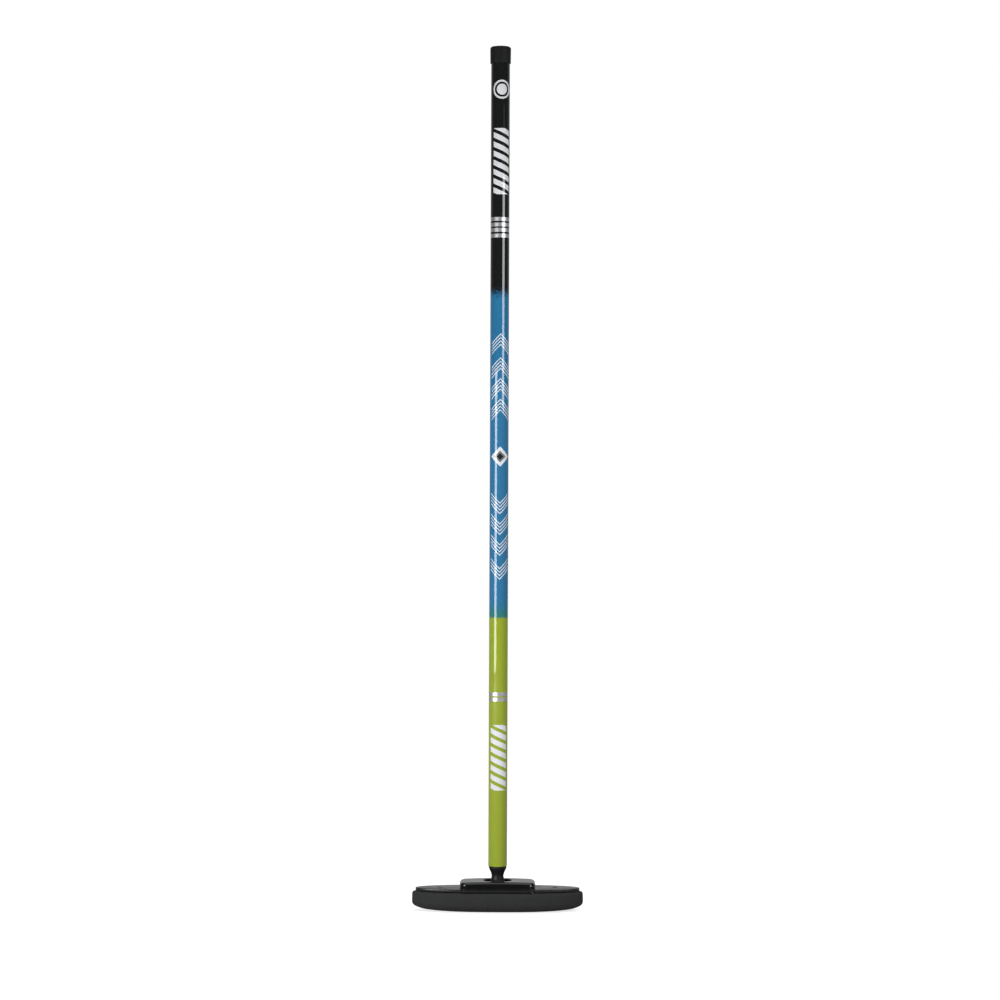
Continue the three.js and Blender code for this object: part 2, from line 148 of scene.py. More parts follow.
for box_name, (azimuth, box_height, box_size, radiance) in SOFT_BOXES.items():
    soft_box(box_name, on_circle(azimuth, BOX_DISTANCE, box_height), box_size, radiance)

world = bpy.data.worlds.new("studio_room")
scene.world = world
world.use_nodes = True
room = world.node_tree
room.nodes.clear()
gaze = add(room, "SeparateXYZ", None, add(room, "TexCoord")).node
around = add(room, "MapRange", SMOOTH, gaze.outputs["Y"], *SIDE_GLOW)
low_down = add(room, "MapRange", SMOOTH, gaze.outputs["Z"], *SHADE_BAND)
beside = add(room, "Math", "MULTIPLY", around, low_down)
overhead = add(room, "MapRange", SMOOTH, gaze.outputs["Z"], *CEILING_BAND)
lit = add(room, "Mix", {"data_type": "FLOAT"}, overhead, i2=beside, i3=CEILING_GLOW)
seen = add(room, "LightPath")
glow = add(room, "Mix", {"data_type": "FLOAT"}, seen, i2=lit, i3=SEEN_GLOW)
add(room, "OutputWorld", None, add(room, "Background", None, (1, 1, 1, 1), glow))

floor_data = bpy.data.meshes.new("studio_floor")
floor_mesh = bmesh.new()
bmesh.ops.create_circle(floor_mesh, cap_ends=True, segments=96, radius=FLOOR_RADIUS)
floor_mesh.to_mesh(floor_data)
floor_mesh.free()
floor = bpy.data.objects.new("studio_floor", floor_data)
scene.collection.objects.link(floor)
# Matt white paint, lifted where the camera sees it, so the broom stands on a clean white ground.
floor_paint, floor_tree = new_material("white_studio_floor")
floor_lift = add(floor_tree, "Math", "MULTIPLY", add(floor_tree, "LightPath"), FLOOR_LIFT)
add(floor_tree, "OutputMaterial", None, add(
    floor_tree, "AddShader", None,
    add(floor_tree, "BsdfDiffuse", None, (FLOOR_GREY, FLOOR_GREY, FLOOR_GREY, 1)),
    add(floor_tree, "Emission", None, (1, 1, 1, 1), floor_lift)))
floor_data.materials.append(floor_paint)

# ---------------------------------------------------------------- painted shaft
# A one inch composite tube, sprayed black, blue and green with speckled fades between them, then printed
# with silver rings and white marks, and lacquered to a mirror gloss. Its bore is left bare.
SHAFT_RADIUS = 12.7
SHAFT_BORE = 11.1
SHAFT_EDGE = 0.35
BLACK_PAINT = "161818"
BLUE_PAINT = "276B95"
BLUE_THIN = "2B729D"
TEAL_PAINT = "2A7660"
GREEN_PAINT = "909F25"
PRINT_WHITE = "DADDE0"
PRINT_GREY = "6C6E70"
PRINT_BLACK = "1A1A1A"
SILVER = "C4C6C8"
BARE_COMPOSITE = "2B2A28"
WOUND_FIBRE = "3A3936"
BLACK_FADE = (806, 866, 0.2)  # from bare to covered, and how firm the edge of its droplets is
TEAL_FADE = (446, 366, 0.45)
GREEN_FADE = (404, 390, 0.2)
DROPLETS_PER_METRE = 950.0
DROPLET_SPREAD = 1.6
RING_TOPS = (939.2, 931.7, 924.5, 916.8, 296.3, 289.2)
RING_WIDTH = 5.2
PRINT_TURN = (208, 3, 1112, 10)  # the print's middle line winds from 3 degrees to 10 up the shaft
BAR_PITCH = 12.4
BAR_WIDTH = 7.4
BAR_SLANT = 0.45
BAR_BLOCKS = ((970, 1059.5), (163.6, 252.2))
BAR_REACH = 12
CHEVRON_MIDDLE = 615.3
CHEVRON_TIPS = (165.7, 133.4, 105.2, 77.1)
CHEVRON_PITCH = 4.65
CHEVRON_LINE = 1.6
CHEVRON_REACH = 13.5
CHEVRON_LINES = 4
DIAMOND_WHITE = 13.5
DIAMOND_GREY = 8.0
DIAMOND_BLACK = 4.5
BADGE_HEIGHT = 1112.0
BADGE_RIM = (10.2, 12.8)
BADGE_DOT = 7.4
UV_OUTSIDE = 0.96  # the share of the map's width that the painted outside takes


def turned(shape, outline, steps=96, closed=True, place=(0, 0)):
    """Adds a body turned about a line up Z to a mesh. Its outline is (radius, height) in millimetres."""
    centre = Vector((place[0] * MM, place[1] * MM, 0))
    ring = [shape.verts.new(centre + Vector((radius * MM, 0, height * MM))) for radius, height in outline]
    following = ring[1:] + ring[:1] if closed else ring[1:]
    edges = [shape.edges.new(pair) for pair in zip(ring, following)]
    old = set(shape.verts) - set(ring)
    bmesh.ops.spin(shape, geom=ring + edges, axis=(0, 0, 1), cent=centre,
                   angle=math.tau, steps=steps, use_merge=True)
    bmesh.ops.remove_doubles(shape, verts=[v for v in shape.verts if v not in old], dist=0.001 * MM)
    added = [face for face in shape.faces if face.verts[0] not in old]
    bmesh.ops.recalc_face_normals(shape, faces=added)


def arc(radius, height, size, start, stop, steps=6):
    """Outline points on a circle round (radius, height), between two angles in degrees up from level."""
    turns = [math.radians(start + (stop - start) * step / steps) for step in range(steps + 1)]
    return [(radius + size * math.cos(turn), height + size * math.sin(turn)) for turn in turns]


def new_piece(name, shape, body, slot, stands_for, *materials):
    """Makes an object of a mesh. It rides on a body and stands for the named CAD nodes."""
    data = bpy.data.meshes.new(name)
    shape.to_mesh(data)
    shape.free()
    data.shade_smooth()
    data.set_sharp_from_angle(angle=math.radians(40))
    for material in materials:
        data.materials.append(material)
    piece = bpy.data.objects.new(name, data)
    scene.collection.objects.link(piece)
    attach(piece, body)
    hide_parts(*stands_for)
    return piece


def any_of(tree, masks):
    """The highest of several masks."""
    whole = masks[0]
    for mask in masks[1:]:
        whole = add(tree, "Math", "MAXIMUM", whole, mask)
    return whole


def all_of(tree, masks):
    """The product of several masks."""
    whole = masks[0]
    for mask in masks[1:]:
        whole = add(tree, "Math", "MULTIPLY", whole, mask)
    return whole


def between(tree, value, low, high):
    """A mask that is 1 where a value lies between two numbers."""
    return add(tree, "Math", "COMPARE", value, (low + high) / 2, (high - low) / 2)


def over(tree, below, colour, mask):
    """A colour laid over another through a mask."""
    return add(tree, "Mix", {"data_type": "RGBA"}, mask, i6=below, i7=colour)


shaft_low, shaft_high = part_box("shaft_tube")
shaft_foot = shaft_low.z / MM
shaft_top = shaft_high.z / MM
shaft_shape = bmesh.new()
turned(shaft_shape, [
    (SHAFT_BORE, shaft_foot + SHAFT_EDGE),
    (SHAFT_BORE + SHAFT_EDGE, shaft_foot),
    *arc(SHAFT_RADIUS - SHAFT_EDGE, shaft_foot + SHAFT_EDGE, SHAFT_EDGE, -90, 0, 4),
    (SHAFT_RADIUS, shaft_top),
    (SHAFT_BORE, shaft_top),
], steps=128)

shaft_map = shaft_shape.loops.layers.uv.new("print")
for face in shaft_shape.faces:
    middle = face.calc_center_median()
    outside = face.normal.xy.dot(middle.xy) > 0 or abs(face.normal.z) > 0.5
    face.material_index = 0 if outside else 1
    base = math.atan2(middle.x, -middle.y) / math.tau
    for loop in face.loops:
        spot = loop.vert.co
        turn = math.atan2(spot.x, -spot.y) / math.tau
        turn += round(base - turn)
        share = min(1, max(0, turn + 0.5))
        map_x = share * UV_OUTSIDE if outside else UV_OUTSIDE + share * (1 - UV_OUTSIDE)
        map_y = (spot.z / MM - shaft_foot) / (shaft_top - shaft_foot)
        loop[shaft_map].uv = (map_x, map_y)

# The print is laid out in millimetres: up the shaft, and across from a middle line that winds slowly.
shaft_paint, paint = new_material("lacquered_shaft_paint")
object_place = add(paint, "TexCoord").node.outputs["Object"]
axes = add(paint, "SeparateXYZ", None, object_place).node
height = add(paint, "Math", "DIVIDE", axes.outputs["Z"], MM)
towards_front = add(paint, "Math", "MULTIPLY", axes.outputs["Y"], -1.0)
facing = add(paint, "Math", "ARCTAN2", axes.outputs["X"], towards_front)
print_foot, foot_turn, print_top, top_turn = PRINT_TURN
winding = add(paint, "MapRange", {"clamp": False}, height, print_foot, print_top,
              math.radians(foot_turn), math.radians(top_turn))
across = add(paint, "Math", "MULTIPLY", add(paint, "Math", "SUBTRACT", facing, winding), SHAFT_RADIUS)
sideways = add(paint, "Math", "ABSOLUTE", across)

# Fine droplets at the edge of each coat: a grain about a millimetre across is added to the coat's cover.
grain = add(paint, "TexNoise", None, object_place, Scale=DROPLETS_PER_METRE, Detail=1.0)
spread = add(paint, "Math", "MULTIPLY", add(paint, "Math", "SUBTRACT", grain, 0.5), DROPLET_SPREAD)


def sprayed(start, stop, firmness):
    """A mask of a sprayed coat, from nothing at one height to full at another, with a speckled edge."""
    cover = add(paint, "MapRange", SMOOTH, height, start, stop, -0.5, 1.5)
    speckled = add(paint, "Math", "ADD", cover, spread)
    return add(paint, "MapRange", None, speckled, 0.5 - firmness, 0.5 + firmness)


# The blue goes slowly thinner and thicker, in patches about 55 mm across.
tone = add(paint, "TexNoise", None, object_place, Scale=18.0, Detail=2.0)
blue = over(paint, linear(BLUE_PAINT), linear(BLUE_THIN), tone)
colour = over(paint, blue, linear(BLACK_PAINT), sprayed(*BLACK_FADE))
colour = over(paint, colour, linear(TEAL_PAINT), sprayed(*TEAL_FADE))
colour = over(paint, colour, linear(GREEN_PAINT), sprayed(*GREEN_FADE))

# The print over the coats: silver rings all round, then white bars, chevrons, a badge and a diamond.
rings = any_of(paint, [between(paint, height, top - RING_WIDTH, top) for top in RING_TOPS])

slanted = add(paint, "Math", "MULTIPLY_ADD", across, BAR_SLANT, height)
along_bar = add(paint, "Math", "FLOORED_MODULO", slanted, BAR_PITCH)
stripe = add(paint, "Math", "LESS_THAN", along_bar, BAR_WIDTH)
in_blocks = any_of(paint, [between(paint, height, foot, top) for foot, top in BAR_BLOCKS])
bars = all_of(paint, [stripe, in_blocks, add(paint, "Math", "LESS_THAN", sideways, BAR_REACH)])

from_middle = add(paint, "Math", "ABSOLUTE", add(paint, "Math", "SUBTRACT", height, CHEVRON_MIDDLE))
tip = add(paint, "Math", "ADD", from_middle, sideways)
chevron_lines = []
for first in CHEVRON_TIPS:
    for line in range(CHEVRON_LINES):
        reach = first - line * CHEVRON_PITCH
        chevron_lines.append(between(paint, tip, reach - CHEVRON_LINE / 2, reach + CHEVRON_LINE / 2))
chevrons = all_of(paint, [any_of(paint, chevron_lines),
                          add(paint, "Math", "LESS_THAN", sideways, CHEVRON_REACH)])

from_badge = add(paint, "Math", "SUBTRACT", height, BADGE_HEIGHT)
badge = add(paint, "VectorMath", "LENGTH", add(paint, "CombineXYZ", None, across, from_badge))
badge_rim = between(paint, badge, *BADGE_RIM)
badge_dot = add(paint, "Math", "LESS_THAN", badge, BADGE_DOT)

centre_white = add(paint, "Math", "LESS_THAN", tip, DIAMOND_WHITE)
centre_grey = add(paint, "Math", "LESS_THAN", tip, DIAMOND_GREY)
centre_black = add(paint, "Math", "LESS_THAN", tip, DIAMOND_BLACK)

white_print = any_of(paint, [bars, chevrons, badge_rim, badge_dot, centre_white])
colour = over(paint, colour, linear(PRINT_WHITE), white_print)
colour = over(paint, colour, linear(PRINT_GREY), centre_grey)
colour = over(paint, colour, linear(PRINT_BLACK), centre_black)
colour = over(paint, colour, linear(SILVER), rings)
# The lacquer has the paint's own refractive index, so only its smooth outer face reflects: the colours
# stay deep, under narrow bright streaks. The silver rings are foil, and shine through the lacquer.
add(paint, "OutputMaterial", None, add(
    paint, "BsdfPrincipled", None, Base_Color=colour, Metallic=rings, Roughness=0.42,
    Specular_IOR_Level=0.0, Coat_Weight=1.0, Coat_Roughness=0.04))

# Unpainted composite inside the tube: dull and nearly black, with paler wound fibre showing in it.
bare_tube, tube_tree = new_material("bare_composite_bore")
wound = add(tube_tree, "TexWave", {"bands_direction": "DIAGONAL"},
            add(tube_tree, "TexCoord").node.outputs["Object"], Scale=220.0, Distortion=2.0)
add(tube_tree, "OutputMaterial", None, add(
    tube_tree, "BsdfPrincipled", None,
    Base_Color=over(tube_tree, linear(BARE_COMPOSITE), linear(WOUND_FIBRE), wound), Roughness=0.55))
new_piece("painted_shaft", shaft_shape, "shaft", "painted_tube", ["shaft_tube"], shaft_paint, bare_tube)

# ---------------------------------------------------------------- rubber cap
# A moulded rubber cap pushed on the top end. It is matt and nearly black, with a soft rounded top edge
# and a thin rounded lip at its foot.
CAP_RADIUS = 14.1
CAP_FOOT_RADIUS = 13.9
CAP_SOCKET = 12.85
CAP_EDGE = 2.8
CAP_TOP = 2.6
CAP_LIP = 1.4
CAP_LIP_ROUND = 0.4
CAP_EDGE_TURN = 84
CAP_RUBBER = "0F1010"


def moulded(name, colour, rough, grain, depth, specular=0.5):
    """A moulded plastic or rubber: one colour through, a cast grain of a size and depth in millimetres,
    and patches about 17 mm across where handling has changed its gloss. A porous skin is less specular."""
    material, tree = new_material(name)
    place = add(tree, "TexCoord").node.outputs["Object"]
    patches = add(tree, "TexNoise", None, place, Scale=60.0, Detail=3.0)
    roughness = add(tree, "MapRange", None, patches, 0.3, 0.7, rough - 0.05, rough + 0.05)
    shade = over(tree, linear(colour), [min(1, c * 1.25) for c in linear(colour)], patches)
    cast = add(tree, "TexNoise", None, place, Scale=1 / (grain * MM), Detail=2.0)
    relief = add(tree, "Bump", None, Strength=0.5, Distance=depth * MM, Height=cast)
    add(tree, "OutputMaterial", None, add(
        tree, "BsdfPrincipled", None, Base_Color=shade, Roughness=roughness, Normal=relief,
        Specular_IOR_Level=specular))
    return material


cap_low, cap_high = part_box("butt_cap")
cap_foot = cap_low.z / MM
cap_top = cap_high.z / MM
cap_shape = bmesh.new()
turned(cap_shape, [
    (0, cap_top - CAP_TOP),
    (CAP_SOCKET, cap_top - CAP_TOP),
    (CAP_SOCKET, cap_foot),
    *arc(CAP_FOOT_RADIUS - CAP_LIP_ROUND, cap_foot + CAP_LIP_ROUND, CAP_LIP_ROUND, -90, 0, 3),
    (CAP_FOOT_RADIUS, cap_foot + CAP_LIP),
    *arc(CAP_RADIUS - CAP_EDGE, cap_top - CAP_EDGE, CAP_EDGE, 0, CAP_EDGE_TURN, 7),
    (0, cap_top),
], closed=False)
# Soft black rubber: matt, with no clear highlight, and a little paler where hands have rubbed it.
cap_rubber = moulded("black_cap_rubber", CAP_RUBBER, rough=0.62, grain=0.4, depth=0.05, specular=0.25)
new_piece("rubber_end_cap", cap_shape, "shaft", "cap_rubber", ["butt_cap"], cap_rubber)

# ---------------------------------------------------------------- neck
# One glass-filled nylon moulding: a spigot bonded in the tube, a collar, a waist as narrow as the
# shaft's lean allows, and the swivel's ball. It is as moulded, so it has a soft sheen.
NECK_NYLON = "0B0C0C"
SWIVEL_HEIGHT = 35
BALL_RADIUS = 11.5
NECK_SIDE = (  # radius and height, from the top of the ball to the foot of the collar
    (8.9, 42.3), (8.45, 44.3), (8.25, 45.7), (8.1, 47), (8.2, 48.4), (8.55, 49.75), (8.95, 51.1),
    (9.5, 52.5), (10.24, 53.8), (10.85, 55.2), (11.46, 56.5), (11.85, 57.6),
)
NECK_COLLAR_RADIUS = 12
NECK_COLLAR_FOOT = 58.3
NECK_COLLAR_TOP = 60
NECK_COLLAR_ROUND = 0.3
SPIGOT_RADIUS = 10.8
SPIGOT_TOP = 108.3
SPIGOT_TAPER = (2, 3)
BALL_FOOT_TURN = -86
PIN_ROOM = 2.8
SIDE_LEAN = 20


def carved(piece, cutter_shape):
    """Cuts a closed mesh out of a piece, and keeps the result as the piece's own mesh."""
    cutter_data = bpy.data.meshes.new("cutter")
    cutter_shape.to_mesh(cutter_data)
    cutter_shape.free()
    cutter = bpy.data.objects.new("cutter", cutter_data)
    scene.collection.objects.link(cutter)
    cut = piece.modifiers.new("cut", "BOOLEAN")
    cut.operation = "DIFFERENCE"
    cut.solver = "EXACT"
    cut.object = cutter
    whole = piece.evaluated_get(bpy.context.evaluated_depsgraph_get())
    result = bpy.data.meshes.new_from_object(whole)
    piece.modifiers.remove(cut)
    bpy.data.objects.remove(cutter)
    result.shade_smooth()
    result.set_sharp_from_angle(angle=math.radians(35))
    piece.data = result


ball_top_turn = math.degrees(math.acos(NECK_SIDE[0][0] / BALL_RADIUS))
neck_shape = bmesh.new()
turned(neck_shape, [
    (0, SWIVEL_HEIGHT - BALL_RADIUS),
    *arc(0, SWIVEL_HEIGHT, BALL_RADIUS, BALL_FOOT_TURN, ball_top_turn, 30),
    *NECK_SIDE,
    (NECK_COLLAR_RADIUS, NECK_COLLAR_FOOT),
    *arc(NECK_COLLAR_RADIUS - NECK_COLLAR_ROUND, NECK_COLLAR_TOP - NECK_COLLAR_ROUND,
         NECK_COLLAR_ROUND, 0, 90, 3),
    (SPIGOT_RADIUS, NECK_COLLAR_TOP),
    (SPIGOT_RADIUS, SPIGOT_TOP - SPIGOT_TAPER[1]),
    (SPIGOT_RADIUS - SPIGOT_TAPER[0], SPIGOT_TOP),
    (0, SPIGOT_TOP),
], closed=False)
# Glass-filled nylon as it leaves its mould: black with a soft, broad sheen and a faint grain.
neck_nylon = moulded("black_nylon", NECK_NYLON, rough=0.5, grain=0.5, depth=0.02, specular=0.3)
neck = new_piece("swivel_neck", neck_shape, "shaft", "black_nylon", ["neck_ball"], neck_nylon)

# The slot that the cross pin lies in, flared like a bow tie for the side tilt.
slot_lean = math.radians(SIDE_LEAN)
slot_reach = BALL_RADIUS + 1
slot_flare = PIN_ROOM / math.cos(slot_lean) + slot_reach * math.tan(slot_lean)
bow_tie = [(0, -PIN_ROOM), (slot_reach, -slot_flare), (slot_reach, slot_flare),
           (0, PIN_ROOM), (-slot_reach, slot_flare), (-slot_reach, -slot_flare)]
slot_shape = bmesh.new()
slot_face = slot_shape.faces.new(
    [slot_shape.verts.new((x * MM, -PIN_ROOM * MM, (SWIVEL_HEIGHT + z) * MM)) for x, z in bow_tie])
pulled = bmesh.ops.extrude_face_region(slot_shape, geom=[slot_face])
bmesh.ops.translate(slot_shape, vec=(0, 2 * PIN_ROOM * MM, 0),
                    verts=[part for part in pulled["geom"] if isinstance(part, bmesh.types.BMVert)])
bmesh.ops.recalc_face_normals(slot_shape, faces=slot_shape.faces)
carved(neck, slot_shape)

# ---------------------------------------------------------------- swivel
# The ball turns in two black acetal seats. A ground steel pin through it lies in the seats' grooves, and
# a rubber ring under the lower seat keeps the grit out. They are as turned or moulded.
BLACK_ACETAL = "101111"
RING_RUBBER = "161616"
GROUND_STEEL = "9A9C9E"


def repainted(node, material):
    """Gives a carried-over CAD node its finish."""
    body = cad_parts[node]
    body.data.materials.clear()
    body.data.materials.append(material)


def worked_metal(name, colour, rough, mark):
    """A machined or plated metal, with tool marks of a width in millimetres and stains about 7 mm across."""
    material, tree = new_material(name)
    place = add(tree, "TexCoord").node.outputs["Object"]
    marks = add(tree, "TexNoise", None, place, Scale=1 / (mark * MM), Detail=3.0)
    stained = over(tree, linear(colour), [c * 0.8 for c in linear(colour)[:3]] + [1.0],
                   add(tree, "TexNoise", None, place, Scale=150.0, Detail=2.0))
    add(tree, "OutputMaterial", None, add(
        tree, "BsdfPrincipled", None, Base_Color=stained, Metallic=1.0,
        Roughness=add(tree, "MapRange", None, marks, 0.3, 0.7, rough - 0.06, rough + 0.1),
        Normal=add(tree, "Bump", None, Strength=0.3, Distance=0.01 * MM, Height=marks)))
    return material


# Slick waxy plastic, matt rubber, and steel that is bright but blurred along its grinding marks.
acetal = moulded("black_acetal", BLACK_ACETAL, rough=0.4, grain=0.8, depth=0.01)
ring_rubber = moulded("ring_rubber", RING_RUBBER, rough=0.55, grain=0.3, depth=0.02)
bright_steel = worked_metal("ground_steel", GROUND_STEEL, rough=0.28, mark=0.3)
repainted("ball_seat_lower", acetal)
repainted("ball_seat_upper", acetal)
repainted("seat_o_ring", ring_rubber)
repainted("swivel_cross_pin", bright_steel)

# ---------------------------------------------------------------- head plate
# A moulded stiffener with the pad's oval outline, cut to a flat along both sides where the housing's
# skirts close over it. It has a round hole for the lower seat, and countersunk holes for six screws.
PLATE_LENGTH = 222.4
PLATE_WIDTH = 56
PLATE_WAIST = 51.6
PLATE_FOOT = 27
PLATE_TOP = 31
PLATE_EDGE = 0.9
PLATE_FOOT_STEP = 0.3
PLATE_SATIN = "101111"
OVAL_POWER = 2.15
SEAT_HOLE = 13.9
PAD_SCREW_REACH = 78
PAD_SCREW_HOLE = 2.2
PAD_SCREW_SINK = (3.8, 1.6)  # radius at the top and depth
PAD_SCREW_ROOM = 5
HOUSING_SCREW_REACH = (38, 17)
HOUSING_SCREW_HOLE = 1.8
HOUSING_SCREW_SINK = (3.5, 1.7)
CUTTER_PAST = 1


def oval(length, width, waist=math.inf, count=192):
    """The head's oval outline in millimetres, with its long sides cut to a flat."""
    outline = []
    for step in range(count):
        turn = math.tau * (step + 0.5) / count
        x = math.copysign(abs(math.cos(turn)) ** (2 / OVAL_POWER), math.cos(turn)) * length / 2
        y = math.copysign(abs(math.sin(turn)) ** (2 / OVAL_POWER), math.sin(turn)) * width / 2
        outline.append((x, max(-waist / 2, min(waist / 2, y))))
    return outline


def skinned(shape, rings, closed=False):
    """Skins rings of equally many points in millimetres, and gives back the rings' vertices."""
    levels = [[shape.verts.new(Vector(point) * MM) for point in ring] for ring in rings]
    following = levels[1:] + levels[:1] if closed else levels[1:]
    for ring, after in zip(levels, following):
        for at in range(len(ring)):
            then = (at + 1) % len(ring)
            shape.faces.new((ring[at], ring[then], after[then], after[at]))
    return levels


def plate_ring(inset, height):
    """The plate's outline, drawn in by an inset, at a height."""
    outline = oval(PLATE_LENGTH - 2 * inset, PLATE_WIDTH - 2 * inset, PLATE_WAIST - 2 * inset)
    return [(x, y, height) for x, y in outline]


plate_rings = [
    plate_ring(PLATE_EDGE, PLATE_FOOT),
    plate_ring(PLATE_FOOT_STEP, PLATE_FOOT + PLATE_FOOT_STEP),
    plate_ring(0, PLATE_FOOT + PLATE_EDGE),
]
for reach, rise in arc(0, 0, PLATE_EDGE, 0, 90, 4):
    plate_rings.append(plate_ring(PLATE_EDGE - reach, PLATE_TOP - PLATE_EDGE + rise))
plate_shape = bmesh.new()
plate_levels = skinned(plate_shape, plate_rings)
plate_shape.faces.new(plate_levels[-1])
plate_shape.faces.new(list(reversed(plate_levels[0])))
bmesh.ops.recalc_face_normals(plate_shape, faces=plate_shape.faces)
# Satin black plastic: nearly black from above, and pale where it is seen at a low angle.
plate_satin = moulded("satin_black_plate", PLATE_SATIN, rough=0.24, grain=0.35, depth=0.02)
plate = new_piece("head_stiffener", plate_shape, "head", "satin_black", ["head_plate"], plate_satin)

plate_holes = bmesh.new()
turned(plate_holes, [
    (0, PLATE_FOOT - CUTTER_PAST),
    (SEAT_HOLE, PLATE_FOOT - CUTTER_PAST),
    (SEAT_HOLE, PLATE_TOP + CUTTER_PAST),
    (0, PLATE_TOP + CUTTER_PAST),
], steps=64, closed=False)
sink_radius, sink_depth = PAD_SCREW_SINK
for side in (-1, 1):
    turned(plate_holes, [
        (0, PLATE_TOP - PAD_SCREW_ROOM),
        (PAD_SCREW_HOLE, PLATE_TOP - PAD_SCREW_ROOM),
        (PAD_SCREW_HOLE, PLATE_TOP - sink_depth),
        (sink_radius, PLATE_TOP),
        (sink_radius, PLATE_TOP + CUTTER_PAST),
        (0, PLATE_TOP + CUTTER_PAST),
    ], steps=40, closed=False, place=(side * PAD_SCREW_REACH, 0))
screw_x, screw_y = HOUSING_SCREW_REACH
sink_radius, sink_depth = HOUSING_SCREW_SINK
boss_places = [(end * screw_x, side * screw_y) for end in (-1, 1) for side in (-1, 1)]
for boss_place in boss_places:
    turned(plate_holes, [
        (0, PLATE_FOOT - CUTTER_PAST),
        (sink_radius, PLATE_FOOT - CUTTER_PAST),
        (sink_radius, PLATE_FOOT),
        (HOUSING_SCREW_HOLE, PLATE_FOOT + sink_depth),
        (HOUSING_SCREW_HOLE, PLATE_TOP + CUTTER_PAST),
        (0, PLATE_TOP + CUTTER_PAST),
    ], steps=32, closed=False, place=boss_place)
carved(plate, plate_holes)

# ---------------------------------------------------------------- pivot housing
# The injection-moulded cover over the swivel: a loaf-shaped shell with a rolled oval mouth, a bead round
# its foot, and four screw bosses inside. Its foot is stepped: deep at the sides, short over the plate.
HOUSING_LENGTH = 102
HOUSING_FOOT_WIDTH = 57
HOUSING_TOP_WIDTH = 48.4
HOUSING_TOP = 41
SKIRT_TOP = 36
EDGE_WIDTH = 5
FOOT_CORNER = 6
TOP_CORNER = 9.5
SHELL_WALL = 2.4
END_FOOT = 31.3
SKIRT_CLEAR = 26.05
MOUTH = (19, 16)
MOUTH_ROLL = 1.2
MOUTH_WALL = 2.5
MOUTH_FOOT = 37.75
BEAD = 0.15
CROWN = 1.3
FOOT_SECTION = (  # height above the foot and inset: a rounded edge, the bead, then the side
    (0, 0.5), (0.15, 0.1 - BEAD), (0.6, -BEAD), (1.3, -BEAD), (1.8, -BEAD / 2), (2.2, 0),
)
SIDE_HEIGHTS = (34.2, 35.2)
ROOF_INSET = 1.5
LEAST_WALL = 0.35  # of the skirt, beside the plate
LEAST_CORNER = 0.8
LEAST_RISE = 0.2  # of the skirt's inside, above its foot
BOSS_RADIUS = 3.6
BOSS_TOP = 39
GLOSS_BLACK = "0B0C0C"
GLOSS_DULL = "121313"


def rounded_box(length, width, corner, count=320):
    """A rounded rectangle in millimetres, as evenly spaced points from the middle of its +X side."""
    straight_x, straight_y = length - 2 * corner, width - 2 * corner
    quarter = corner * math.pi / 2
    runs = [straight_y / 2, quarter, straight_x, quarter, straight_y, quarter, straight_x, quarter,
            straight_y / 2]
    centres = [(1, 1), (-1, 1), (-1, -1), (1, -1)]
    whole = sum(runs)
    points = []
    for step in range(count):
        left, run = whole * step / count, 0
        while left > runs[run]:
            left -= runs[run]
            run += 1
        if run % 2:
            quadrant = run // 2
            side_x, side_y = centres[quadrant]
            turn = quadrant * math.pi / 2 + left / corner
            points.append((side_x * straight_x / 2 + corner * math.cos(turn),
                           side_y * straight_y / 2 + corner * math.sin(turn)))
        elif run in (0, 8):
            points.append((length / 2, left if run == 0 else left - straight_y / 2))
        elif run == 4:
            points.append((-length / 2, straight_y / 2 - left))
        else:
            side = 1 if run == 2 else -1
            points.append((side * (straight_x / 2 - left), side * width / 2))
    return points


def shell_outline(height, inset):
    """The housing's outline at a height. Towards the top its sides lean in and its corners round off."""
    share = min(1, max(0, (height - PLATE_FOOT) / (SKIRT_TOP - PLATE_FOOT)))
    width = HOUSING_FOOT_WIDTH + share * (HOUSING_TOP_WIDTH - HOUSING_FOOT_WIDTH)
    corner = FOOT_CORNER + share * (TOP_CORNER - FOOT_CORNER)
    return rounded_box(HOUSING_LENGTH - 2 * inset, width - 2 * inset, max(LEAST_CORNER, corner - inset))


def ellipse(half_length, half_width, count=320):
    """An ellipse in millimetres, with as many points as the housing's outline."""
    turns = [math.tau * step / count for step in range(count)]
    return [(half_length * math.cos(turn), half_width * math.sin(turn)) for turn in turns]


def at_height(outline, height):
    """A ring of an outline's points, all at one height."""
    return [(x, y, height) for x, y in outline]


# The foot stands beside the plate along the sides, and on top of it at the ends.
feet = []
for _, y in shell_outline(PLATE_FOOT, 0):
    feet.append(PLATE_FOOT if abs(y) > SKIRT_CLEAR + LEAST_WALL else END_FOOT)


def foot_ring(up, inset):
    """A ring that stands a little above the housing's stepped foot."""
    outlines = {foot: shell_outline(foot + up, inset) for foot in (PLATE_FOOT, END_FOOT)}
    return [(*outlines[foot][at], foot + up) for at, foot in enumerate(feet)]


